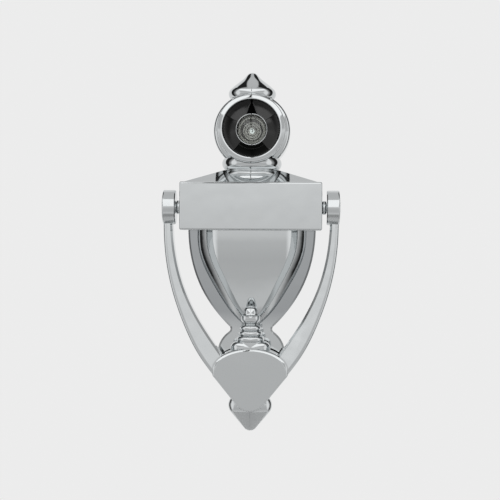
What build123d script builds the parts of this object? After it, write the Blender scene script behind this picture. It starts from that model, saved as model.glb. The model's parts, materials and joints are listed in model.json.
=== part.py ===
from build123d import *
from math import cos, radians, sin
import os

# A door knocker with a door viewer, modelled in millimetres as it is fitted to a door.
# The origin is on the door's face, on the viewer's axis. +Z is up, and the front of the knocker faces -Y.
# Depths are measured from the door's face towards the front, so a depth of 25 is y = -25.

# Door
door_thickness = 44.0

# Body: block, shoulders and plate
block_half_width = 30.0
block_depth = 25.0
block_top = -22.5
block_bottom = -42.9
block_edge = 0.8
shoulder_half_width = 11.7
shoulder_top = -17.1
shoulder_ridge_depth = 14.0
plate_depth = 4.0
plate_edge = 0.8
foot_bottom = -110.0

# Body: urn bowl
bowl_radius = 23.7
bowl_flatness = 0.75
bowl_half_angle = 66.0
bowl_tip = -85.4
bowl_root = 0.5
casting_wall = 2.6
rib_thickness = 2.0
rib_offset = 7.0
middle_pocket_depth = 8.0
side_pocket_depth = 6.5

# Body: viewer housing, and the turned collar and finial on one upright axis
housing_radius = 16.5
housing_depth = 13.0
housing_round = 2.2
housing_pocket_depth = 9.5
ring_clearance = 0.15
turned_axis_depth = 9.5
finial_top = 25.2

# Viewer: bezel ring, funnel and barrel
bezel_radius = 14.5
bezel_depth = 24.5
bezel_mouth = 12.15
funnel_mouth = 11.6
funnel_throat = 6.45
funnel_front = 23.9
funnel_skirt = 11.0
throat_length = 0.65
barrel_radius = 7.0
barrel_neck_radius = 6.8
barrel_bore = 6.0
barrel_end = 31.0
flange_radius = 12.6
flange_depth = 14.6
cup_radius = 8.1
inner_fit = 0.05

# Viewer: lenses and spacers in the barrel, with y positions along its axis
lens_depth = 17.9
lens_radius = 6.8
middle_lens_front = -8.3
middle_lens_back = -5.8
rear_spacer_end = 2.2
rear_lens_front = 2.55
rear_lens_back = 4.75
retaining_ring_front = 5.1
retaining_ring_back = 7.3
spacer_bore = 4.8

# Viewer: eyepiece
sleeve_bore = 4.9
sleeve_front = 17.0
sleeve_flange_radius = 10.5
sleeve_flange_thickness = 2.5
ring_slot_width = 1.2
ring_slot_depth = 0.7
eye_bore = 5.2
eye_seat_bore = 3.6
eye_seat = door_thickness - 1.5

# Bail
pivot_height = -33.1
pivot_depth = 15.5
pivot_radius = 2.0
pivot_fit = 0.05
pin_end = 17.0
pin_boss_radius = 4.6
pin_head_radius = 3.5
pin_head_thickness = 1.1
bush_radius = 3.0
ear_radius = 7.4
ear_inner = 32.1
ear_outer = 37.6
ear_dome = 0.5
ear_round = 0.65
arm_thickness = 8.0
arm_front = 2.2
arm_lean = 1.5
arm_round = 1.6
arm_bevel = 0.9
pad_depth = 19.9
pad_round = 1.3
pad_back = 8.7
pad_centre = -102.2
pad_half_width = 16.0
pad_rise = 9.4
pad_bottom = -119.9
pad_lower_round = 0.8
drop_depth = 14.4
drop_flatness = 0.5
acorn_depth = 14.3
acorn_foot_flatness = 0.62

# Fixings
stud_height = -66.0
stud_radius = 2.5
stud_thread_radius = 2.25
stud_shank_start = 0.3
stud_shank_end = 43.7
stud_end = 52.0
stud_root = -9.0
stud_boss_radius = 5.0
nut_flat_radius = 4.0
nut_height = 4.8
nut_dome_radius = 3.75
washer_radius = 7.5
washer_thickness = 1.2
strike_height = -103.0
strike_radius = 4.2
strike_shank_radius = 2.0
strike_gap = 0.3


def turned_upright(profile, depth):
    """Turn a closed profile of (radius, height) edges about an upright axis at this depth."""
    return Pos(0, -depth, 0) * revolve(Plane.XZ * make_face(profile), Axis.Z)


def turned_through(profile):
    """Turn a closed profile of (radius, y) edges about the viewer's axis."""
    return revolve(make_face(profile), Axis.Y)


def turned_across(profile, depth, height):
    """Turn a closed profile of (x, radius) edges about a crosswise axis."""
    return Pos(0, -depth, height) * revolve(make_face(profile), Axis.X)


def rod_through(radius, height, start, end):
    """A rod square to the door at this height, from y = start to y = end."""
    return Pos(0, (start + end) / 2, height) * Rot(90, 0, 0) * Cylinder(radius, end - start)


def rod_across(radius, x_start, x_end):
    """A rod along the pivot axis."""
    middle = Pos((x_start + x_end) / 2, -pivot_depth, pivot_height)
    return middle * Rot(0, 90, 0) * Cylinder(radius, abs(x_end - x_start))


def tube(outer, inner, start, end):
    """A plain tube on the viewer's axis, from y = start to y = end."""
    return rod_through(outer, 0, start, end) - rod_through(inner, 0, start, end)


def forward(face, front, back):
    """Extrude an outline in the XZ plane between two depths."""
    return Pos(0, -back, 0) * extrude(face, front - back, dir=(0, -1, 0))


def slab(half_width, front, back, bottom, top, x=0.0):
    """A rectangular block between two depths and two heights."""
    box = Box(2 * half_width, front - back, top - bottom)
    return Pos(x, -(front + back) / 2, (top + bottom) / 2) * box


def both_sides(half):
    """Join a half outline in the XZ plane with its mirror image into one face."""
    half = Plane.XZ * half
    return make_face(half + mirror(half, Plane.YZ))


# The body


def plate_outline():
    """The urn's flange: its flank, the narrow neck and the flared foot behind the bail's pad."""
    upper_flank = (27.8, -40), (27.6, -47), (25.9, -57.2)
    flank = Spline(*upper_flank, (21.6, -68.6), (15.8, -77.6), (9.8, -84.3))
    neck = ThreePointArc(flank @ 1, (9.1, -85.6), (9.8, -86.9))
    foot = Spline(neck @ 1, (11.9, -88.8), (13.7, -91.6), (14.4, -97))
    base = ThreePointArc(foot @ 1, (10.4, -107.2), (0, foot_bottom))
    top = Line((0, -40), (27.8, -40))
    return both_sides(top + flank + neck + foot + base)


def bowl_section(half_width, height):
    """A level section through the bowl: a flattened arc that ends on the flange."""
    across = half_width / sin(radians(bowl_half_angle))
    forth = bowl_flatness * across
    centre = (0, forth * cos(radians(bowl_half_angle)))
    arc = EllipticalCenterArc(centre, across, forth, 270 - bowl_half_angle, arc_size=2 * bowl_half_angle)
    root = Polyline(arc @ 1, (half_width, bowl_root), (-half_width, bowl_root), arc @ 0)
    return Pos(0, -plate_depth, height) * make_face(arc + root)


def bowl():
    """The urn's bowl, whose level sections all have one shape."""
    upper = (bowl_radius, -38), (bowl_radius, -45), (22.6, -53.4), (19.8, -60.6)
    lower = (15.4, -68.5), (9.0, -78), (5.2, -82), (1.6, bowl_tip)
    return loft([bowl_section(*place) for place in upper + lower])


def bowl_pockets():
    """The cored back of the bowl: a middle pocket and two side ones, parted by upright ribs."""
    top = block_bottom - casting_wall
    rib_inside = rib_offset - rib_thickness / 2
    rib_outside = rib_offset + rib_thickness / 2
    middle = both_sides(Polyline((0, top), (rib_inside, top), (rib_inside, -70), (3.5, -75), (0, -75)))
    outer_wall = (19.6, top), (18.4, -54), (15.2, -63)
    outline = Polyline((rib_outside, top), *outer_wall, (rib_outside, -73), (rib_outside, top))
    side = forward(Plane.XZ * make_face(outline), side_pocket_depth, 0)
    return forward(middle, middle_pocket_depth, 0) + side + mirror(side, Plane.YZ)


def block():
    """The hinge block with its cored pockets and the bosses for the pivot pins."""
    solid = slab(block_half_width, block_depth, 0, block_bottom, block_top)
    solid = fillet(solid.edges().filter_by(lambda e: e.center().Y < -0.1), block_edge)
    pocket_top = block_top - casting_wall
    pocket_bottom = block_bottom + casting_wall
    pocket_front = block_depth - casting_wall
    pitch = (2 * block_half_width - casting_wall) / 4
    half_width = (pitch - rib_thickness) / 2
    for count in (-1.5, -0.5, 0.5, 1.5):
        solid -= slab(half_width, pocket_front, 0, pocket_bottom, pocket_top, count * pitch)
    for side in (-1, 1):
        solid += rod_across(pin_boss_radius, side * pitch, side * (block_half_width - 2))
    return solid


def shoulders():
    """The hipped shoulders, which rise from the block to a short ridge behind the collar."""
    sunk = 0.5
    base = Rectangle(2 * block_half_width - block_edge, block_depth - block_edge / 2)
    ridge = Rectangle(2 * shoulder_half_width, shoulder_ridge_depth)
    base = Pos(0, -(block_depth - block_edge / 2) / 2, block_top - sunk) * base
    return loft([base, Pos(0, -shoulder_ridge_depth / 2, shoulder_top) * ridge])


def collar():
    """The turned collar: a round bulge, a neck, a ring and a flared foot."""
    sunk = block_top - 0.4
    edge = Polyline((0, sunk), (0, -8), (9.6, -8), (10.4, -10.8))
    bulge = ThreePointArc(edge @ 1, (12.85, -14.0), (11.3, -17.0))
    neck = ThreePointArc(bulge @ 1, (11.1, -17.3), (11.4, -17.6))
    ring = ThreePointArc(neck @ 1, (12.1, -18.7), (11.2, -19.8))
    flare = ThreePointArc(ring @ 1, (12.1, -21.6), (14.6, block_top))
    floor = Polyline(flare @ 1, (14.6, sunk), (0, sunk))
    return turned_upright(edge + bulge + neck + ring + flare + floor, turned_axis_depth)


def finial():
    """The pointed top finial, with a thick rounded rim."""
    axis = Line((0, 8), (0, finial_top))
    tip = TangentArc(axis @ 1, (2.3, 24.1), tangent=(1, 0))
    cone = Spline(tip @ 1, (3.9, 22.45), (6.5, 20.4), (9.3, 18.0), tangents=[(1.0, -1.2), (1.0, -0.97)])
    rim = ThreePointArc(cone @ 1, (10.2, 16.0), (9.3, 13.8))
    root = Polyline(rim @ 1, (7.5, 8), (0, 8))
    return turned_upright(axis + tip + cone + rim + root, turned_axis_depth)


def housing():
    """The round viewer housing with its rounded front edge."""
    back = Line((0, 0), (housing_radius, 0))
    side = Line(back @ 1, (housing_radius, -(housing_depth - housing_round)))
    edge = TangentArc(side @ 1, (housing_radius - housing_round, -housing_depth), tangent=(0, -1))
    front = Polyline(edge @ 1, (0, -housing_depth), (0, 0))
    return turned_through(back + side + edge + front)


def housing_cores():
    """The bore for the barrel and four ribbed pockets round it, open at the back."""
    pockets = tube(housing_radius - casting_wall, barrel_radius + casting_wall, -housing_pocket_depth, 0)
    ribs = [Rot(0, turn, 0) * Box(60, 40, rib_thickness) for turn in (45, 135)]
    bore = rod_through(barrel_radius + 2 * inner_fit, 0, -housing_depth, 0)
    return pockets - ribs + bore


def knocker_body():
    """The one-piece die casting."""
    plate = forward(plate_outline(), plate_depth, 0)
    rim = plate.faces().sort_by(Axis.Y)[0].outer_wire().edges()
    plate = chamfer(rim.filter_by(lambda e: e.center().Z < -41), plate_edge)
    solid = plate + bowl() + block() + shoulders() + collar() + finial() + housing()
    solid &= slab(60, 60, 0, -150, 60)
    solid -= housing_cores()
    solid -= rod_through(bezel_radius + ring_clearance, 0, -30, -housing_depth)
    solid -= bowl_pockets()
    solid += rod_through(stud_boss_radius, stud_height, -middle_pocket_depth, 0)
    solid -= rod_through(stud_thread_radius, stud_height, stud_root, 0)
    solid -= rod_through(stud_radius + 0.4, stud_height, -0.8, 0)
    solid -= rod_through(strike_shank_radius, strike_height, -plate_depth, 0)
    for side in (-1, 1):
        solid -= rod_across(pivot_radius, side * pin_end, side * block_half_width)
    return solid


# The viewer


def viewer_bezel_ring():
    """The bright ring round the viewer, curving in to its mouth."""
    bore = flange_radius + inner_fit
    seat = Polyline((bore, -housing_depth), (bezel_radius, -housing_depth), (bezel_radius, -15.5))
    outside = ThreePointArc(seat @ 1, (14.2, -21.2), (13.3, -24.0))
    lip = ThreePointArc(outside @ 1, (13.1, -bezel_depth), (bezel_mouth, -24.0))
    inside = Polyline(lip @ 1, (bezel_mouth, -flange_depth), (bore, -flange_depth), seat @ 0)
    return turned_through(seat + outside + lip + inside)


def viewer_funnel():
    """The black moulded dish from the bezel's mouth down to the lens."""
    throat_front = -lens_depth - 0.2
    throat_back = throat_front + throat_length
    edge = Polyline(
        (bezel_mouth, -funnel_front),
        (funnel_mouth, -funnel_front),
        (funnel_throat, throat_front),
        (funnel_throat, throat_back),
        (cup_radius + 0.1, throat_back),
        (funnel_skirt, -22.0),
        (funnel_skirt, -flange_depth),
        (bezel_mouth, -flange_depth),
        (bezel_mouth, -funnel_front),
    )
    return turned_through(edge)


def outer_barrel():
    """The barrel through the door: its lens cup, its flange and its tube."""
    cup_bore = lens_radius + inner_fit
    cup_rim = -lens_depth + 0.7
    edge = Polyline(
        (barrel_bore, -flange_depth),
        (cup_bore, -flange_depth),
        (cup_bore, cup_rim),
        (cup_radius, cup_rim),
        (cup_radius, -flange_depth),
        (flange_radius, -flange_depth),
        (flange_radius, -housing_depth),
        (barrel_neck_radius, -housing_depth),
        (barrel_neck_radius, 0),
        (barrel_radius, 0),
        (barrel_radius, barrel_end - 0.5),
        (barrel_radius - 0.5, barrel_end),
        (barrel_bore, barrel_end),
        (barrel_bore, -flange_depth),
    )
    return turned_through(edge)


def lens(radius, front, back, front_bulge, back_bulge):
    """A lens between two edge planes. A negative bulge is a hollow."""
    face = TangentArc((0, front - front_bulge), (radius, front), tangent=(1, 0))
    rear = TangentArc((0, back + back_bulge), (radius, back), tangent=(1, 0))
    edge = Line(face @ 1, rear @ 1)
    axis = Line(rear @ 0, face @ 0)
    return turned_through(face + edge + rear + axis)


def slotted_ring(outer, inner, start, end):
    """A ring with two slots across its inner side face for a spanner."""
    ring = tube(outer, inner, start, end)
    return ring - Pos(0, end, 0) * Box(4 * outer, 2 * ring_slot_depth, ring_slot_width)


def inner_sleeve():
    """The sleeve that screws into the barrel from inside the house, with a slotted flange."""
    sleeve_radius = barrel_bore - inner_fit
    flange_face = door_thickness + sleeve_flange_thickness
    edge = Polyline(
        (sleeve_bore, sleeve_front),
        (sleeve_radius, sleeve_front),
        (sleeve_radius, door_thickness),
        (sleeve_flange_radius, door_thickness),
        (sleeve_flange_radius, flange_face - 0.8),
        (sleeve_flange_radius - 0.8, flange_face),
        (eye_bore, flange_face),
        (eye_bore, eye_seat),
        (eye_seat_bore, eye_seat),
        (eye_seat_bore, eye_seat - 1.5),
        (sleeve_bore, eye_seat - 1.5),
        (sleeve_bore, sleeve_front),
    )
    slot = Pos(0, flange_face, 0) * Box(40, 2.0, 2.0)
    return turned_through(edge) - slot


def viewer_optics():
    """The lenses, spacers and threaded rings, from the front lens to the eye lens."""
    fit_radius = barrel_bore - inner_fit
    lens_cup = lens(lens_radius, -lens_depth + 0.6, -flange_depth, 0.8, -1.6)
    front_spacer = tube(fit_radius, spacer_bore, -flange_depth, middle_lens_front)
    rear_spacer = tube(fit_radius, spacer_bore, middle_lens_back, rear_spacer_end)
    retaining_ring = slotted_ring(fit_radius, sleeve_bore, retaining_ring_front, retaining_ring_back)
    eye_ring = slotted_ring(eye_bore - inner_fit, 4.0, eye_seat + 2.15, eye_seat + 3.8)
    return {
        "front_lens": lens_cup,
        "lens_spacer_front": front_spacer,
        "middle_lens": lens(fit_radius, middle_lens_front, middle_lens_back, -0.7, -0.7),
        "lens_spacer_rear": rear_spacer,
        "rear_lens": lens(fit_radius, rear_lens_front, rear_lens_back, 0.9, 0.9),
        "lens_retaining_ring": retaining_ring,
        "eye_lens": lens(eye_bore - 0.1, eye_seat, eye_seat + 1.8, -0.5, 0.9),
        "eye_lens_ring": eye_ring,
    }


# The bail


def arm_outline():
    """The front view of one arm, from inside the ear down to inside the pad."""
    outside = Spline(
        (37.4, -36),
        (37.1, -47.8),
        (34.6, -64.6),
        (29.2, -81.4),
        (21.7, -96.5),
        (15.9, -104.4),
        tangents=[(0, -1), (-0.62, -0.8)],
    )
    inside = Spline(
        (33.6, -36),
        (33.2, -46),
        (31.7, -56.2),
        (28.0, -68.8),
        (21.8, -81.4),
        (12.0, -95.9),
        (6.0, -104.4),
    )
    top = Line(outside @ 0, inside @ 0)
    bottom = Line(outside @ 1, inside @ 1)
    return Plane.XZ * make_face(outside + inside + top + bottom)


def long_front_edges(solid):
    """The long edges of an arm's front face, the inner one first."""
    return solid.faces().sort_by(Axis.Y)[0].edges().filter_by(lambda e: e.length > 40).sort_by(Axis.X)


def arm(side):
    """One arm, with a rounded outer edge and a bevelled inner one, leaning forward a little."""
    front_depth = pivot_depth + arm_front
    solid = forward(arm_outline(), front_depth, front_depth - arm_thickness)
    solid = chamfer(long_front_edges(solid)[0], arm_bevel)
    solid = fillet(long_front_edges(solid)[-1], arm_round)
    lean = Pos(0, -pivot_depth, pivot_height) * Rot(-arm_lean, 0, 0) * Pos(0, pivot_depth, -pivot_height)
    solid = lean * solid
    return solid if side > 0 else mirror(solid, Plane.YZ)


def ear(side):
    """The round ear at the top of one arm, slightly domed outside and bored for the pin."""
    inner_edge = (ear_inner, ear_radius - 0.4), (ear_inner + 0.4, ear_radius)
    edge = Polyline((ear_inner, 0), *inner_edge, (ear_outer - ear_round, ear_radius))
    corner = TangentArc(edge @ 1, (ear_outer, ear_radius - ear_round), tangent=(1, 0))
    dome = TangentArc((ear_outer + ear_dome, 0), corner @ 1, tangent=(0, 1))
    axis = Line(dome @ 0, edge @ 0)
    solid = turned_across(edge + corner + dome + axis, pivot_depth, pivot_height)
    return solid if side > 0 else mirror(solid, Plane.YZ)


def pad():
    """The striking pad: an arched top, and straight lower sides that meet in a round tongue."""
    arch = EllipticalCenterArc((0, pad_centre), pad_half_width, pad_rise, 0, arc_size=90)
    side = Polyline(arch @ 0, (pad_half_width, -104.5), (4.9, -118.1))
    tongue = TangentArc((0, pad_bottom), side @ 1, tangent=(1, 0))
    outline = both_sides(arch + side + tongue)
    solid = forward(outline, pad_depth, pad_back)
    front = solid.faces().sort_by(Axis.Y)[0].edges()
    solid = fillet(front.filter_by(lambda e: e.center().Z > pad_centre), pad_round)
    front = solid.faces().sort_by(Axis.Y)[0].edges()
    return fillet(front.filter_by(lambda e: e.center().Z < -106), pad_lower_round)


def drop():
    """The spade-shaped drop behind the pad's tongue, turned and flattened."""
    top = Polyline((0, -112), (8.0, -112), (8.4, -114.6))
    shoulder = ThreePointArc(top @ 1, (9.3, -117.1), (8.6, -120.0))
    flank = Line(shoulder @ 1, (2.3, -127.4))
    tip = TangentArc((0, -128.35), flank @ 1, tangent=(1, 0))
    axis = Line(tip @ 0, top @ 0)
    turned = revolve(Plane.XZ * make_face(top + shoulder + flank + tip + axis), Axis.Z)
    return Pos(0, -drop_depth, 0) * scale(turned, by=(1, drop_flatness, 1))


def acorn():
    """The small turned acorn in its cup, on a neck and three stacked rings."""
    axis = Line((0, -100), (0, -75.0))
    nut = Spline(axis @ 1, (2.3, -75.9), (3.05, -78.2), tangents=[(1, 0), (0.05, -1)])
    lip = ThreePointArc(nut @ 1, (3.4, -79.0), (4.2, -79.4))
    cup = ThreePointArc(lip @ 1, (4.2, -80.9), (3.0, -82.7))
    neck = Line(cup @ 1, (2.8, -83.5))
    ring_1 = ThreePointArc(neck @ 1, (4.7, -84.4), (4.1, -85.6))
    ring_2 = ThreePointArc(ring_1 @ 1, (5.2, -86.6), (4.6, -87.8))
    ring_3 = ThreePointArc(ring_2 @ 1, (6.1, -89.0), (5.3, -90.4))
    root = Polyline(ring_3 @ 1, (5.3, -100), (0, -100))
    return turned_upright(axis + nut + lip + cup + neck + ring_1 + ring_2 + ring_3 + root, acorn_depth)


def acorn_foot():
    """The broad round-edged foot under the rings, flattened to stay inside the pad's depth."""
    top = Line((0, -90.2), (5.6, -90.2))
    edge = ThreePointArc(top @ 1, (8.1, -91.3), (8.5, -93.4))
    root = Polyline(edge @ 1, (8.5, -98), (0, -98), (0, -90.2))
    turned = revolve(Plane.XZ * make_face(top + edge + root), Axis.Z)
    return Pos(0, -acorn_depth, 0) * scale(turned, by=(1, acorn_foot_flatness, 1))


def bail():
    """The swinging bail in one casting."""
    solid = arm(1) + arm(-1) + ear(1) + ear(-1) + pad() + drop() + acorn() + acorn_foot()
    sink_floor = ear_outer + ear_dome - pin_head_thickness - 0.2
    for side in (-1, 1):
        solid -= rod_across(pivot_radius + pivot_fit, side * 30, side * 40)
        solid -= rod_across(pin_head_radius + 0.1, side * sink_floor, side * 40)
    return solid


def pivot_pin(side):
    """A headed pin pressed into the block, on which one ear turns."""
    face = ear_outer + ear_dome - 0.1
    neck = face - pin_head_thickness
    tip = pin_end + 0.2
    shank = Polyline((tip, 0), (tip, pivot_radius - 0.4), (tip + 0.4, pivot_radius), (neck, pivot_radius))
    head_edge = (face - 0.3, pin_head_radius), (face, pin_head_radius - 0.3)
    head = Polyline(shank @ 1, (neck, pin_head_radius), *head_edge, (face, 0))
    solid = turned_across(shank + head + Line(head @ 1, shank @ 0), pivot_depth, pivot_height)
    solid -= Pos(face, -pivot_depth, pivot_height) * Box(1.0, 2.2 * pin_head_radius, 0.8)
    return solid if side > 0 else mirror(solid, Plane.YZ)


def pivot_bush(side):
    """The small round bead on the pin between the block and the ear."""
    inner = block_half_width
    outer = ear_inner - 0.1
    crown_top = ((inner + outer) / 2, bush_radius)
    crown = ThreePointArc((inner, bush_radius - 0.5), crown_top, (outer, bush_radius - 0.5))
    edge = Polyline(crown @ 0, (inner, pivot_radius), (outer, pivot_radius), crown @ 1)
    solid = turned_across(crown + edge, pivot_depth, pivot_height)
    return solid if side > 0 else mirror(solid, Plane.YZ)


# The fixings


def strike_stud():
    """The round-headed stud that the pad strikes."""
    face = -(pad_back - strike_gap)
    shank = Polyline((0, -0.6), (strike_shank_radius, -0.6), (strike_shank_radius, -plate_depth))
    head = Polyline(shank @ 1, (strike_radius, -plate_depth), (strike_radius, face + 1.2))
    crown = TangentArc((0, face), head @ 1, tangent=(1, 0))
    axis = Line(crown @ 0, shank @ 0)
    return Pos(0, 0, strike_height) * turned_through(shank + head + crown + axis)


def fixing_stud():
    """The stud through the door, with a thread at each end: one in the lower boss, one in the cap nut."""
    stud = rod_through(stud_radius, stud_height, stud_shank_start, stud_shank_end)
    stud += rod_through(stud_thread_radius, stud_height, stud_root + 0.5, stud_shank_start)
    return stud + rod_through(stud_thread_radius, stud_height, stud_shank_end, stud_end)


def fixing_washer():
    """The plain washer on the inner side of the door."""
    ring = tube(washer_radius, stud_thread_radius + 0.3, door_thickness, door_thickness + washer_thickness)
    return Pos(0, 0, stud_height) * ring


def cap_nut():
    """The domed cap nut that pulls the knocker against the door."""
    start = door_thickness + washer_thickness
    shoulder = start + nut_height + 1.2
    across = Plane.XZ * RegularPolygon(nut_flat_radius, 6, major_radius=False)
    hexagon = forward(across, -start, -(start + nut_height))
    side = Polyline((0, start + 1), (nut_dome_radius, start + 1), (nut_dome_radius, shoulder))
    dome = TangentArc((0, shoulder + nut_dome_radius), side @ 1, tangent=(1, 0))
    solid = hexagon + turned_through(side + dome + Line(dome @ 0, side @ 0))
    solid -= rod_through(stud_thread_radius + inner_fit, 0, start, stud_end + 0.8)
    return Pos(0, 0, stud_height) * solid


nodes = {
    "knocker_body": knocker_body(),
    "viewer_bezel_ring": viewer_bezel_ring(),
    "viewer_funnel": viewer_funnel(),
    "outer_barrel": outer_barrel(),
    **viewer_optics(),
    "inner_sleeve": inner_sleeve(),
    "bail": bail(),
    "pivot_pin_left": pivot_pin(-1),
    "pivot_pin_right": pivot_pin(1),
    "pivot_bush_left": pivot_bush(-1),
    "pivot_bush_right": pivot_bush(1),
    "strike_stud": strike_stud(),
    "fixing_stud": fixing_stud(),
    "fixing_washer": fixing_washer(),
    "cap_nut": cap_nut(),
}

os.makedirs("parts", exist_ok=True)
for name, solid in nodes.items():
    export_step(solid, f"parts/{name}.step")
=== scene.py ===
import json
import math

import bmesh
import bpy
from mathutils import Matrix, Vector


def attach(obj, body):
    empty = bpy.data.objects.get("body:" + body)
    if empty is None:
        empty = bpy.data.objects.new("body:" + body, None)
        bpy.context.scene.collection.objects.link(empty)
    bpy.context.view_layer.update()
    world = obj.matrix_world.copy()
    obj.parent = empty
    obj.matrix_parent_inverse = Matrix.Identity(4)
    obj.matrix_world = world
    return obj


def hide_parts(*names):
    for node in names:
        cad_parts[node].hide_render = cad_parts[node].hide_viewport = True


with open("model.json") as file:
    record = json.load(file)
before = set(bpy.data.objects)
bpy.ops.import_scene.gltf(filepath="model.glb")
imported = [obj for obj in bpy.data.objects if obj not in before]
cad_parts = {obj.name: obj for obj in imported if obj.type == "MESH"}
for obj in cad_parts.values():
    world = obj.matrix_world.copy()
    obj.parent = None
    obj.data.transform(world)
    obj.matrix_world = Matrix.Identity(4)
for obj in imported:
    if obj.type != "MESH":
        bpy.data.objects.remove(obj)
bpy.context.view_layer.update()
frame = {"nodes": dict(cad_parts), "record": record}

# Door knocker with viewer, upright as it is used. Metres, +Z up, its front faces -Y.

# Camera, from the photograph's own perspective
camera_distance = 0.543
camera_side = 0.016
focal_px = 1237.0
photo_px = 500.0
aim_height = -0.0512
aim_side = -0.0009
camera_roll = math.radians(0.35)
sensor_mm = 36.0

# Surround: brightness of the parts of a light tent, 1.0 is a white wall
pale_background = 0.84
tent_wing = 0.57
side_wall = 1.0
white_band = 1.32
dark_flag = 0.02
dark_seam = 0.015

# Surround: how its band falls to the sides, its flags lean and its seam stands aside
band_fall = 0.5
flag_lean = 0.2
seam_side = 0.056

# Floor
floor_height = -0.30
floor_radius = 0.26
floor_fade_start = 0.078
floor_paint = 0.9

# Colours that two finishes share
chrome_on_brass_hex = "D2D5D6"
nickel_hex = "8E8D88"

# Middles of the turned pieces, which the lathe's rings run round
viewer_middle = (0, 0, 0)
hinge_middle = (0, -0.0155, -0.0331)
strike_middle = (0, 0, -0.103)
nut_middle = (0, 0, -0.066)

# A finish's limit is a pair: where the finish starts and where it is full

# Bail: the crown down its arms, which its flat pad and its turned middle don't have
crown_middle = -0.0512
crown_curve = 0.472
crown_tilt = -0.003
pad_middle = -0.1022
pad_half_width = 0.016
pad_arch = 0.0094
off_pad = (1.0, 1.03)
off_middle = (0.0085, 0.0095)
below_ears = (-0.040, -0.044)

# Body: the flange behind the bowl down to the foot, where the plate is painted darker as painted shade,
# and the pockets in the hinge block's back
flange_reach = (-0.0052, -0.0042)
above_foot = (-0.086, -0.078)
pocket_middle = -0.0327
pocket_side = (0.0290, 0.0285)
pocket_height = (0.0086, 0.0082)
pocket_reach = (-0.0236, -0.0232)
casting_roughness = 0.55

# Barrel's nickel-plated end, and the sleeve's thread
nickel_end = (-0.0128, -0.0131)
sleeve_thread_end = (0.0425, 0.0418)
sleeve_pitch = 0.00075
sleeve_thread_depth = 0.00006
sleeve_thread_strength = 0.8

# Viewer's insert, in millimetres
insert_turns = 360
insert_lip = -18.4
insert_start = 6.75
insert_width = 4.8
insert_steps = 10
insert_curve = 1.6
insert_back = -17.35

# Its facets, by degrees from 12 o'clock, and how far each falls. The first that holds an angle counts.
insert_facets = ((-62, 57, 0.5), (-140, 140, 0.85), (-181, 181, 2.6))

# Its notch over the lens, which holds a dark wedge of painted shade, narrower towards the ring, in
# millimetres
notch_half_width = 2.2
notch_taper = 1.9
notch_slope = 0.9
notch_depth = 0.5

# Viewer's ring, and the lens's lip with its round edge, in millimetres
ring_turns = 192
lens_turns = 128
lip_radius = 6.55
lip_depth = -18.5
lip_edge = 0.2
lip_steps = 12

# Fixing stud, from its end in the bowl to its end in the nut, in millimetres
stud_turns = 48
stud_height = -66.0
stud_start = -8.5
stud_end = 52.0
stud_radius = 2.45
start_chamfer = 0.5
end_chamfer = 0.6
thread_pitch = 0.8
thread_depth = 0.42
bowl_thread_end = 3.0
nut_thread_start = 34.0
row_step = 0.1
row_shift = 0.0001


def hex_colour(code):
    """An sRGB hex value as linear red, green, blue and alpha."""
    parts = [int(code[i:i + 2], 16) / 255 for i in (0, 2, 4)]
    linear = [c / 12.92 if c <= 0.04045 else ((c + 0.055) / 1.055) ** 2.4 for c in parts]
    return (*linear, 1.0)


def grey(level):
    """A neutral linear colour."""
    return (level, level, level, 1.0)


def add_node(tree, kind, settings=None, inputs=None):
    """Add one node, with its settings and with values or links for its sockets."""
    node = tree.nodes.new(kind)
    for name, value in (settings or {}).items():
        setattr(node, name, value)
    for name, value in (inputs or {}).items():
        socket = node.inputs[name]
        if isinstance(value, bpy.types.NodeSocket):
            tree.links.new(value, socket)
        else:
            socket.default_value = value
    return node


def new_material(name):
    """An empty material and its node tree."""
    material = bpy.data.materials.new(name)
    material.use_nodes = True
    material.node_tree.nodes.clear()
    return material, material.node_tree


def give_surface(material, surface):
    """Give a material its surface, from the values and links of its shader."""
    tree = material.node_tree
    shader = add_node(tree, "ShaderNodeBsdfPrincipled", inputs=surface)
    add_node(tree, "ShaderNodeOutputMaterial", inputs={"Surface": shader.outputs["BSDF"]})
    return material


def place_on_object(tree):
    """The place on the object, in metres, as three values named X, Y and Z."""
    place = add_node(tree, "ShaderNodeTexCoord")
    axes = add_node(tree, "ShaderNodeSeparateXYZ", inputs={"Vector": place.outputs["Object"]})
    return axes.outputs


def patchy(tree, size_mm, low, high, detail=2.0):
    """A value that drifts between low and high in soft patches of this size.
    The noise itself keeps mostly between 0.3 and 0.7."""
    place = add_node(tree, "ShaderNodeTexCoord")
    cloud = {"Vector": place.outputs["Object"], "Scale": 1000.0 / size_mm, "Detail": detail}
    cloud = add_node(tree, "ShaderNodeTexNoise", inputs=cloud)
    span = {
        "Value": cloud.outputs["Fac"],
        "From Min": 0.3,
        "From Max": 0.7,
        "To Min": low,
        "To Max": high,
    }
    return add_node(tree, "ShaderNodeMapRange", inputs=span).outputs["Result"]


def polishing_waves(tree, size_mm, depth_mm, base=None):
    """Low waves of this size and depth, as a polishing wheel or a mould leaves them, as a normal."""
    height = patchy(tree, size_mm, low=0.0, high=1.0, detail=1.0)
    relief = {"Distance": depth_mm / 1000, "Height": height}
    if base is not None:
        relief["Normal"] = base
    return add_node(tree, "ShaderNodeBump", inputs=relief).outputs["Normal"]


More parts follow.
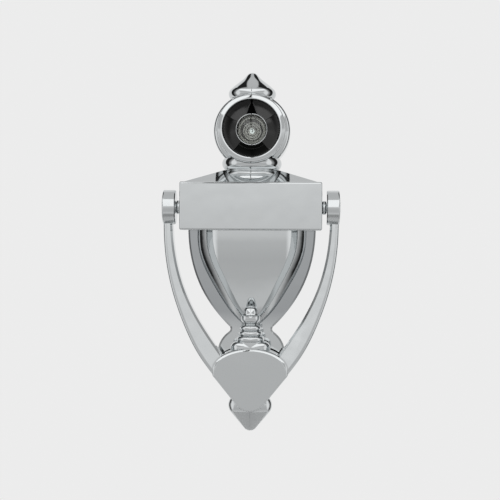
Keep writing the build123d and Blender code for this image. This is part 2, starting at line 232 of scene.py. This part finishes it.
def turning_marks(tree, pitch_mm, depth_mm, axis, middle, base=None):
    """Fine rings round an axis, as a lathe leaves them, as a normal.
    At a scale of 1.0 the rings would stand pi / 10 metres apart."""
    place = add_node(tree, "ShaderNodeTexCoord")
    from_axis = {0: place.outputs["Object"], 1: middle}
    from_axis = add_node(tree, "ShaderNodeVectorMath", {"operation": "SUBTRACT"}, from_axis)
    settings = {"wave_type": "RINGS", "rings_direction": axis, "wave_profile": "SIN"}
    rings = {
        "Vector": from_axis.outputs[0],
        "Scale": 100.0 * math.pi / pitch_mm,
        "Distortion": 0.6,
        "Detail": 1.0,
    }
    rings = add_node(tree, "ShaderNodeTexWave", settings, rings)
    relief = {"Distance": depth_mm / 1000, "Height": rings.outputs["Fac"]}
    if base is not None:
        relief["Normal"] = base
    return add_node(tree, "ShaderNodeBump", inputs=relief).outputs["Normal"]


def arm_crown(tree):
    """The slight crown that buffing leaves down the front of the bail's arms, as a normal."""
    axes = place_on_object(tree)
    along = {0: axes["Z"], 1: -crown_middle}
    along = add_node(tree, "ShaderNodeMath", {"operation": "ADD"}, along).outputs[0]
    curve = {0: along, 1: crown_curve, 2: crown_tilt}
    curve = add_node(tree, "ShaderNodeMath", {"operation": "MULTIPLY_ADD"}, curve)
    height = {0: along, 1: curve.outputs[0]}
    height = add_node(tree, "ShaderNodeMath", {"operation": "MULTIPLY"}, height)

    # How far out from the pad's middle a place is: 1.0 is the pad's arched edge, at any depth
    side = add_node(tree, "ShaderNodeMath", {"operation": "ABSOLUTE"}, {0: axes["X"]}).outputs[0]
    over_pad = {0: axes["Z"], 1: -pad_middle}
    over_pad = add_node(tree, "ShaderNodeMath", {"operation": "ADD"}, over_pad)
    over_pad = {0: over_pad.outputs[0], 1: 0.0}
    over_pad = add_node(tree, "ShaderNodeMath", {"operation": "MAXIMUM"}, over_pad)
    from_pad = {"X": side, "Z": over_pad.outputs[0]}
    from_pad = add_node(tree, "ShaderNodeCombineXYZ", inputs=from_pad)
    from_pad = {0: from_pad.outputs[0], 1: (pad_half_width, 1.0, pad_arch)}
    from_pad = add_node(tree, "ShaderNodeVectorMath", {"operation": "DIVIDE"}, from_pad)
    from_pad = {0: from_pad.outputs[0]}
    from_pad = add_node(tree, "ShaderNodeVectorMath", {"operation": "LENGTH"}, from_pad)

    crowned = 1.0
    limits = ((from_pad.outputs["Value"], off_pad), (side, off_middle), (axes["Z"], below_ears))
    for value, (start, full) in limits:
        limit = {"Value": value, "From Min": start, "From Max": full, "To Max": crowned}
        crowned = add_node(tree, "ShaderNodeMapRange", inputs=limit).outputs["Result"]
    crown = {"Strength": crowned, "Distance": 1.0, "Height": height.outputs[0]}
    return add_node(tree, "ShaderNodeBump", inputs=crown).outputs["Normal"]


def cored_pockets(tree, shine):
    """The plate's shine, but the casting's matt skin in the pockets cored in the hinge block's back."""
    axes = place_on_object(tree)
    side = add_node(tree, "ShaderNodeMath", {"operation": "ABSOLUTE"}, {0: axes["X"]}).outputs[0]
    level = {0: axes["Z"], 1: -pocket_middle}
    level = add_node(tree, "ShaderNodeMath", {"operation": "ADD"}, level)
    level = {0: level.outputs[0]}
    level = add_node(tree, "ShaderNodeMath", {"operation": "ABSOLUTE"}, level).outputs[0]
    skin = casting_roughness
    limits = ((side, pocket_side), (level, pocket_height), (axes["Y"], pocket_reach))
    for value, (start, full) in limits:
        inside = {"Value": value, "From Min": start, "From Max": full, "To Max": skin}
        skin = add_node(tree, "ShaderNodeMapRange", inputs=inside).outputs["Result"]
    return add_node(tree, "ShaderNodeMath", {"operation": "MAXIMUM"}, {0: skin, 1: shine}).outputs[0]


def chrome_plate(name, crowned=False):
    """Bright chrome plate on a polished zinc casting: a clear mirror with faint waves and haze.
    The flange behind the bowl is painted darker: painted shade, where the bowl and the arms in front
    shade it."""
    material, tree = new_material(name)
    axes = place_on_object(tree)
    # Painted shade: the plate's colour darkens on the flange behind the bowl, down to the foot
    painted_flange_shade = 1.0
    for value, (start, full) in ((axes["Y"], flange_reach), (axes["Z"], above_foot)):
        limit = {"Value": value, "From Min": start, "From Max": full, "To Max": painted_flange_shade}
        painted_flange_shade = add_node(tree, "ShaderNodeMapRange", inputs=limit).outputs["Result"]
    plate = {"Fac": painted_flange_shade, "Color1": hex_colour("D0D3D4"), "Color2": hex_colour("AEB1B3")}
    plate = add_node(tree, "ShaderNodeMixRGB", inputs=plate)
    shine = patchy(tree, size_mm=11.0, low=0.03, high=0.07, detail=3.0)
    crown = arm_crown(tree) if crowned else None
    surface = {
        "Base Color": plate.outputs["Color"],
        "Metallic": 1.0,
        "Roughness": shine if crowned else cored_pockets(tree, shine),
        "Normal": polishing_waves(tree, size_mm=9.0, depth_mm=0.02, base=crown),
    }
    return give_surface(material, surface)


def chrome_on_turned_brass(name, axis, middle):
    """Bright chrome plate on turned brass: the mirror keeps a breath of the lathe's rings.
    Real marks are near 0.05 mm apart, too fine to show, so they are drawn wider."""
    material, tree = new_material(name)
    waves = polishing_waves(tree, size_mm=7.0, depth_mm=0.012)
    surface = {
        "Base Color": hex_colour(chrome_on_brass_hex),
        "Metallic": 1.0,
        "Roughness": patchy(tree, size_mm=6.0, low=0.03, high=0.08, detail=3.0),
        "Normal": turning_marks(tree, 0.45, 0.0006, axis, middle, base=waves),
    }
    return give_surface(material, surface)


def chrome_on_thread():
    """Bright chrome plate on the eyepiece's sleeve: its thread shows as close rings, 0.75 mm apart."""
    material, tree = new_material("chrome_plate_on_threaded_brass")
    axes = place_on_object(tree)
    lead = {0: axes["Y"], 1: math.tau / sleeve_pitch}
    lead = add_node(tree, "ShaderNodeMath", {"operation": "MULTIPLY"}, lead)
    turn = {0: axes["X"], 1: axes["Z"]}
    turn = add_node(tree, "ShaderNodeMath", {"operation": "ARCTAN2"}, turn)
    helix = {0: lead.outputs[0], 1: turn.outputs[0]}
    helix = add_node(tree, "ShaderNodeMath", {"operation": "ADD"}, helix)
    ridge = add_node(tree, "ShaderNodeMath", {"operation": "SINE"}, {0: helix.outputs[0]})
    start, full = sleeve_thread_end
    cut = {"Value": axes["Y"], "From Min": start, "From Max": full, "To Max": sleeve_thread_strength}
    cut = add_node(tree, "ShaderNodeMapRange", inputs=cut)
    relief = {
        "Strength": cut.outputs["Result"],
        "Distance": sleeve_thread_depth,
        "Height": ridge.outputs[0],
    }
    surface = {
        "Base Color": hex_colour(chrome_on_brass_hex),
        "Metallic": 1.0,
        "Roughness": patchy(tree, size_mm=6.0, low=0.05, high=0.12, detail=3.0),
        "Normal": add_node(tree, "ShaderNodeBump", inputs=relief).outputs["Normal"],
    }
    return give_surface(material, surface)


def black_plastic():
    """Black plastic from a polished mould: deep black, with a soft shine and a faint orange peel."""
    material, tree = new_material("black_plastic_moulded")
    surface = {
        "Base Color": hex_colour("0B0C0B"),
        "IOR": 1.58,
        "Roughness": patchy(tree, size_mm=3.0, low=0.1, high=0.16),
        "Normal": polishing_waves(tree, size_mm=0.9, depth_mm=0.002),
    }
    return give_surface(material, surface)


def black_plastic_painted_shade():
    """Dead black plastic, grained, with no shine, in the notch over the lens: painted shade for the
    dark wedge there.
    A mould's grain is near 0.1 mm, too fine to show, so it is drawn coarser."""
    material, tree = new_material("black_plastic_painted_shade")
    surface = {
        "Base Color": hex_colour("040404"),
        "Specular IOR Level": 0.04,
        "Roughness": patchy(tree, size_mm=1.0, low=0.75, high=0.95),
        "Normal": polishing_waves(tree, size_mm=0.4, depth_mm=0.004),
    }
    return give_surface(material, surface)


def lens_glass():
    """Optical glass, ground and polished: clear, with the faintest wipe marks."""
    material, tree = new_material("lens_glass_polished")
    surface = {
        "Base Color": hex_colour("FAFDFC"),
        "IOR": 1.52,
        "Transmission Weight": 1.0,
        "Roughness": patchy(tree, size_mm=2.5, low=0.0, high=0.02),
    }
    return give_surface(material, surface)


def turned_brass():
    """Brass turned on a lathe: warm and fine-ringed, a little dulled.
    Its rings are drawn wider, so that they show. Its lens end is nickel-plated against glare."""
    material, tree = new_material("brass_turned")
    tarnish = {
        "Fac": patchy(tree, size_mm=5.0, low=0.0, high=1.0, detail=3.0),
        "Color1": hex_colour("CBA65F"),
        "Color2": hex_colour("B48C4A"),
    }
    tarnish = add_node(tree, "ShaderNodeMixRGB", inputs=tarnish)
    start, full = nickel_end
    plated = {"Value": place_on_object(tree)["Y"], "From Min": start, "From Max": full}
    plated = add_node(tree, "ShaderNodeMapRange", inputs=plated)
    skin = {
        "Fac": plated.outputs["Result"],
        "Color1": tarnish.outputs["Color"],
        "Color2": hex_colour(nickel_hex),
    }
    surface = {
        "Base Color": add_node(tree, "ShaderNodeMixRGB", inputs=skin).outputs["Color"],
        "Metallic": 1.0,
        "Roughness": patchy(tree, size_mm=4.0, low=0.2, high=0.34, detail=3.0),
        "Normal": turning_marks(tree, 0.5, 0.002, "Y", viewer_middle),
    }
    return give_surface(material, surface)


def satin_nickel():
    """Satin nickel plate inside the barrel: a quiet neutral grey, with turned rings drawn wider."""
    material, tree = new_material("nickel_plate_satin")
    surface = {
        "Base Color": hex_colour(nickel_hex),
        "Metallic": 1.0,
        "Roughness": patchy(tree, size_mm=4.0, low=0.24, high=0.36, detail=3.0),
        "Normal": turning_marks(tree, 0.5, 0.003, "Y", viewer_middle),
    }
    return give_surface(material, surface)


def zinc_plate():
    """Bright zinc plate on steel: silvery grey, mottled a little blue and straw by its passivation."""
    material, tree = new_material("zinc_plated_steel")
    mottle = {
        "Fac": patchy(tree, size_mm=3.5, low=0.0, high=1.0, detail=3.0),
        "Color1": hex_colour("B4BAC2"),
        "Color2": hex_colour("C2BFB2"),
    }
    surface = {
        "Base Color": add_node(tree, "ShaderNodeMixRGB", inputs=mottle).outputs["Color"],
        "Metallic": 1.0,
        "Roughness": patchy(tree, size_mm=2.5, low=0.22, high=0.38, detail=3.0),
        "Normal": polishing_waves(tree, size_mm=0.8, depth_mm=0.003),
    }
    return give_surface(material, surface)


materials = {
    "chrome_casting": chrome_plate("chrome_plate_on_zinc"),
    "chrome_bail": chrome_plate("chrome_plate_on_zinc_bail", crowned=True),
    "chrome_trim": chrome_on_turned_brass("chrome_plate_on_brass", "Y", viewer_middle),
    "black_plastic": black_plastic(),
    "optical_glass": lens_glass(),
    "brass_tube": turned_brass(),
    "zinc_steel": zinc_plate(),
}
nickel = satin_nickel()
pin_chrome = chrome_on_turned_brass("chrome_plate_on_brass_pin", "X", hinge_middle)
own_finish = {
    "lens_spacer_front": nickel,
    "lens_spacer_rear": nickel,
    "lens_retaining_ring": nickel,
    "eye_lens_ring": nickel,
    "inner_sleeve": chrome_on_thread(),
    "strike_stud": chrome_on_turned_brass("chrome_plate_on_brass_stud", "Y", strike_middle),
    "cap_nut": chrome_on_turned_brass("chrome_plate_on_brass_nut", "Y", nut_middle),
    "pivot_pin_left": pin_chrome,
    "pivot_pin_right": pin_chrome,
    "pivot_bush_left": pin_chrome,
    "pivot_bush_right": pin_chrome,
}
for row in frame["record"]["subparts"]:
    solid = frame["nodes"][row["node"]]
    solid.data.materials.clear()
    solid.data.materials.append(own_finish.get(row["node"], materials[row["material_slot"]]))


def add_piece(name, points, faces, material, sharp=30.0):
    """A new mesh piece in millimetres on the fixed body, smooth but for edges past this angle."""
    mesh = bpy.data.meshes.new(name)
    mesh.from_pydata([[value / 1000 for value in point] for point in points], [], faces)
    mesh.validate()
    shape = bmesh.new()
    shape.from_mesh(mesh)
    bmesh.ops.remove_doubles(shape, verts=shape.verts, dist=1e-7)
    bmesh.ops.recalc_face_normals(shape, faces=shape.faces)
    shape.to_mesh(mesh)
    shape.free()
    mesh.shade_smooth()
    mesh.set_sharp_from_angle(angle=math.radians(sharp))
    mesh.materials.append(material)
    piece = bpy.data.objects.new(name, mesh)
    bpy.context.scene.collection.objects.link(piece)
    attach(piece, "mounted_body")
    return piece


def ring_grid(section_at, turns, closed=True, height=0.0):
    """Points and faces of a surface round an axis along Y at this height.
    section_at(angle) gives its section there, as (radius, y)."""
    points, faces = [], []
    for step in range(turns):
        angle = math.tau * step / turns
        section = section_at(angle)
        count = len(section)
        for radius, depth in section:
            points.append((radius * math.sin(angle), depth, height + radius * math.cos(angle)))
        here = step * count
        after = (step + 1) % turns * count
        for number in range(count if closed else count - 1):
            beside = (number + 1) % count
            faces.append((here + number, here + beside, after + beside, after + number))
    return points, faces


def insert_fall(angle):
    """How far the insert's face falls from the lens to its rim, in the facet at this angle."""
    turn = math.degrees(angle)
    turn = turn - 360 if turn > 180 else turn
    return next(fall for low, high, fall in insert_facets if low < turn < high)


def into_notch(reach, across):
    """How far inside the notch's edges a place on the insert's face lies, this far out and aside."""
    return notch_half_width - notch_taper * (reach - insert_start) / insert_width - abs(across)


def insert_section(angle):
    """The black insert at one angle: its lip at the lens, its sloping face and its wall in the ring."""
    face = []
    for step in range(insert_steps + 1):
        part = step / insert_steps
        radius = insert_start + insert_width * part
        fall = insert_fall(angle) * (1 - (1 - part) ** insert_curve)
        sunk = notch_slope * into_notch(radius, radius * math.sin(angle))
        sunk = min(notch_depth, max(0.0, sunk)) if math.cos(angle) > 0 else 0.0
        face.append((radius, insert_lip + fall + sunk))
    inside = [(8.2, -14.65), (8.2, -17.3), (6.5, -17.3), (6.5, -18.25)]
    wall = [(11.7, -23.6), (11.85, -23.85), (12.1, -23.7), (12.1, -14.65)]
    return inside + face + wall


def black_insert():
    """The moulded insert between the ring and the lens, which stands for the plain CAD one."""
    points, faces = ring_grid(insert_section, insert_turns)
    plastic = materials["black_plastic"]
    piece = add_piece("viewer_insert", points, faces, plastic, sharp=25.0)
    piece.data.materials.append(black_plastic_painted_shade())
    # Faces in the notch over the lens take the dead black plastic: painted shade for the dark wedge
    # there
    for face in piece.data.polygons:
        across, depth, height = [1000 * value for value in face.center]
        reach = math.hypot(across, height)
        in_notch = height > 0 and reach > insert_start and into_notch(reach, across) > 0
        face.material_index = 1 if in_notch and depth < insert_back else 0
    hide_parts("viewer_funnel")


def bright_ring():
    """The chromed ring round the viewer, broadly bevelled, which stands for the plain CAD one."""
    section = [(12.15, -14.6), (12.65, -14.6), (12.65, -13.0), (14.5, -13.0), (14.5, -23.1)]
    section += [(14.46, -23.45), (14.34, -23.75), (14.1, -23.97), (13.7, -24.13), (13.3, -24.27)]
    section += [(12.9, -24.37), (12.5, -24.42), (12.3, -24.36), (12.18, -24.2), (12.15, -23.95)]
    points, faces = ring_grid(lambda angle: section, ring_turns)
    piece = add_piece("viewer_ring", points, faces, materials["chrome_trim"])
    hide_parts("viewer_bezel_ring")


def lens_lip():
    """The thin bright lip that holds the front lens."""
    section = []
    for step in range(lip_steps):
        turn = math.tau * step / lip_steps
        radius = lip_radius + lip_edge * math.cos(turn)
        section.append((radius, lip_depth + lip_edge * math.sin(turn)))
    points, faces = ring_grid(lambda angle: section, lens_turns)
    add_piece("lens_lip_ring", points, faces, materials["chrome_trim"])


def lens_stop():
    """The turned stop plate behind the front lens: fine steps round a small clear hole."""
    section = [(4.72, -9.0), (4.5, -9.25), (4.25, -9.0), (3.6, -8.95), (3.45, -9.1), (3.3, -8.95)]
    section += [(2.4, -8.85), (2.25, -9.0), (2.1, -8.8), (1.2, -8.6), (1.2, -8.45), (4.72, -8.45)]
    points, faces = ring_grid(lambda angle: section, lens_turns)
    add_piece("lens_stop_plate", points, faces, nickel)


def stud_section(angle):
    """The fixing stud's side at one angle, with an M5 thread at each end and a plain shank between.
    Its rows are shifted by a hair, so that none lies on its flat ends."""
    rows = [(0.0, stud_start)]
    for step in range(round((stud_end - stud_start) / row_step) + 1):
        depth = stud_start + row_step * step - row_shift
        ridge = abs(2 * ((depth / thread_pitch - angle / math.tau) % 1.0) - 1)
        threaded = min(1.0, max(0.0, bowl_thread_end - depth))
        threaded += min(1.0, max(0.0, depth - nut_thread_start))
        chamfer = max(0.0, start_chamfer - (depth - stud_start))
        chamfer += max(0.0, end_chamfer - (stud_end - depth))
        rows.append((stud_radius - thread_depth * ridge * threaded - chamfer, depth))
    return rows + [(0.0, stud_end)]


def threaded_stud():
    """The stud behind the bowl, with its threads cut, which stands for the plain CAD one."""
    points, faces = ring_grid(stud_section, stud_turns, closed=False, height=stud_height)
    piece = add_piece("fixing_stud_threaded", points, faces, materials["zinc_steel"])
    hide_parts("fixing_stud")


def pale_floor():
    """A plain pale floor well below the knocker, fading out at its edge."""
    turns = 96
    rim = []
    for step in range(turns):
        angle = math.tau * step / turns
        rim.append((floor_radius * math.cos(angle), floor_radius * math.sin(angle), floor_height))
    mesh = bpy.data.meshes.new("floor")
    mesh.from_pydata(rim, [], [tuple(range(turns))])
    material, tree = new_material("floor_matt_paint")
    paint = {"Base Color": grey(floor_paint), "Roughness": 0.9}
    paint = add_node(tree, "ShaderNodeBsdfPrincipled", inputs=paint)
    place = add_node(tree, "ShaderNodeTexCoord")
    flat = {0: place.outputs["Object"], 1: (1.0, 1.0, 0.0)}
    flat = add_node(tree, "ShaderNodeVectorMath", {"operation": "MULTIPLY"}, flat)
    reach = add_node(tree, "ShaderNodeVectorMath", {"operation": "LENGTH"}, {0: flat.outputs[0]})
    fade = {"Value": reach.outputs["Value"], "From Min": floor_fade_start, "From Max": floor_radius}
    fade = add_node(tree, "ShaderNodeMapRange", {"interpolation_type": "SMOOTHSTEP"}, fade)
    clear = add_node(tree, "ShaderNodeBsdfTransparent")
    edge = {0: fade.outputs["Result"], 1: paint.outputs["BSDF"], 2: clear.outputs["BSDF"]}
    edge = add_node(tree, "ShaderNodeMixShader", inputs=edge)
    add_node(tree, "ShaderNodeOutputMaterial", inputs={"Surface": edge.outputs["Shader"]})
    floor = bpy.data.objects.new("floor", mesh)
    mesh.materials.append(material)
    bpy.context.scene.collection.objects.link(floor)


black_insert()
bright_ring()
lens_lip()
lens_stop()
threaded_stud()
pale_floor()


def studio_world():
    """A light tent by direction: grey in front, a white band above, dark flags beside, pale behind."""
    world = bpy.data.worlds.new("studio")
    bpy.context.scene.world = world
    world.use_nodes = True
    tree = world.node_tree
    tree.nodes.clear()
    place = add_node(tree, "ShaderNodeTexCoord")
    way = add_node(tree, "ShaderNodeSeparateXYZ", inputs={"Vector": place.outputs["Generated"]})
    across, forth, up = way.outputs
    side = add_node(tree, "ShaderNodeMath", {"operation": "ABSOLUTE"}, {0: across}).outputs[0]

    # The tent's grey, from 0.0 straight down to 1.0 straight up
    upward = {"Value": up, "From Min": -1.0, "From Max": 1.0}
    upward = add_node(tree, "ShaderNodeMapRange", inputs=upward)
    tent = add_node(tree, "ShaderNodeValToRGB", inputs={"Fac": upward.outputs["Result"]})
    stops = tent.color_ramp.elements
    stops.remove(stops[1])
    stops[0].color = grey(0.20)
    for position, level in (
        (0.065, 0.25),
        (0.12, 0.42),
        (0.17, 0.70),
        (0.205, 0.70),
        (0.24, 0.60),
        (0.33, 0.58),
        (0.4565, 0.64),
        (0.508, 0.77),
        (0.528, 0.876),
        (0.545, 1.0),
        (0.895, 1.0),
        (0.90, 0.68),
        (1.0, 0.64),
    ):
        stops.new(position).color = grey(level)

    # Directions that the limits below are measured along
    rise = {0: side, 1: -band_fall, 2: up}
    rise = add_node(tree, "ShaderNodeMath", {"operation": "MULTIPLY_ADD"}, rise).outputs[0]
    back = {0: up, 1: -flag_lean, 2: forth}
    back = add_node(tree, "ShaderNodeMath", {"operation": "MULTIPLY_ADD"}, back).outputs[0]
    slope = add_node(tree, "ShaderNodeMath", {"operation": "DIVIDE"}, {0: across, 1: forth})
    off = {0: slope.outputs[0], 1: seam_side}
    off = add_node(tree, "ShaderNodeMath", {"operation": "SUBTRACT"}, off)
    off = add_node(tree, "ShaderNodeMath", {"operation": "ABSOLUTE"}, {0: off.outputs[0]}).outputs[0]

    # Soft limits: name, direction, where it is 0 and where it is 1
    part = {}
    for name, value, start, end in (
        ("aside", side, 0.12, 0.30),
        ("raised", up, 0.05, 0.10),
        ("far aside", side, 0.83, 0.89),
        ("over the band", rise, 0.055, 0.085),
        ("under the roof", up, 0.80, 0.77),
        ("in front", forth, -0.05, -0.15),
        ("beside", side, 0.19, 0.225),
        ("not low", up, -0.65, -0.45),
        ("past the front", forth, -0.14, 0.208),
        ("short of the back", back, 0.50, 0.46),
        ("behind", back, 0.46, 0.50),
        ("at the seam", off, 0.035, 0.02),
        ("high", up, 0.17, 0.23),
        ("low", up, -0.74, -0.80),
    ):
        limits = {"Value": value, "From Min": start, "From Max": end}
        part[name] = add_node(tree, "ShaderNodeMapRange", inputs=limits).outputs["Result"]
    for name, action, first, second in (
        ("wings", "MULTIPLY", "aside", "raised"),
        ("side walls", "MULTIPLY", "far aside", "in front"),
        ("band", "MULTIPLY", "over the band", "under the roof"),
        ("band", "MULTIPLY", "band", "in front"),
        ("flags", "MULTIPLY", "beside", "not low"),
        ("flags", "MULTIPLY", "flags", "past the front"),
        ("flags", "MULTIPLY", "flags", "short of the back"),
        ("ends", "ADD", "high", "low"),
        ("seam", "MULTIPLY", "at the seam", "ends"),
        ("seam", "MULTIPLY", "seam", "in front"),
    ):
        pair = {0: part[first], 1: part[second]}
        part[name] = add_node(tree, "ShaderNodeMath", {"operation": action}, pair).outputs[0]
    colour = tent.outputs["Color"]
    for name, level in (
        ("wings", tent_wing),
        ("side walls", side_wall),
        ("band", white_band),
        ("flags", dark_flag),
        ("seam", dark_seam),
    ):
        layer = {"Fac": part[name], "Color1": colour, "Color2": grey(level)}
        colour = add_node(tree, "ShaderNodeMixRGB", inputs=layer).outputs["Color"]

    # The pale background: all that the camera sees, and what metal and glass show of the place behind
    ray = add_node(tree, "ShaderNodeLightPath")
    mirrored = {0: ray.outputs["Is Glossy Ray"], 1: ray.outputs["Is Transmission Ray"]}
    mirrored = add_node(tree, "ShaderNodeMath", {"operation": "ADD"}, mirrored)
    mirrored = {0: mirrored.outputs[0], 1: part["behind"]}
    mirrored = add_node(tree, "ShaderNodeMath", {"operation": "MULTIPLY"}, mirrored)
    pale = {0: mirrored.outputs[0], 1: ray.outputs["Is Camera Ray"]}
    pale = add_node(tree, "ShaderNodeMath", {"operation": "ADD", "use_clamp": True}, pale)
    seen = {"Fac": pale.outputs[0], "Color1": colour, "Color2": grey(pale_background)}
    seen = add_node(tree, "ShaderNodeMixRGB", inputs=seen)
    light = {"Color": seen.outputs["Color"], "Strength": 1.0}
    light = add_node(tree, "ShaderNodeBackground", inputs=light)
    add_node(tree, "ShaderNodeOutputWorld", inputs={"Surface": light.outputs["Background"]})


def photograph_camera():
    """The camera where the photograph was taken from, with the same field of view."""
    data = bpy.data.cameras.new("camera")
    data.sensor_width = sensor_mm
    data.lens = sensor_mm * focal_px / photo_px
    data.clip_start = 0.01
    camera = bpy.data.objects.new("camera", data)
    bpy.context.scene.collection.objects.link(camera)
    camera.location = (camera_side, -camera_distance, aim_height)
    aim = Vector((aim_side, 0.0, aim_height)) - camera.location
    turn = aim.to_track_quat("-Z", "Y").to_matrix().to_4x4() @ Matrix.Rotation(camera_roll, 4, "Z")
    camera.matrix_world = Matrix.Translation(camera.location) @ turn
    bpy.context.scene.camera = camera


studio_world()
photograph_camera()
bpy.context.scene.view_settings.view_transform = "Standard"
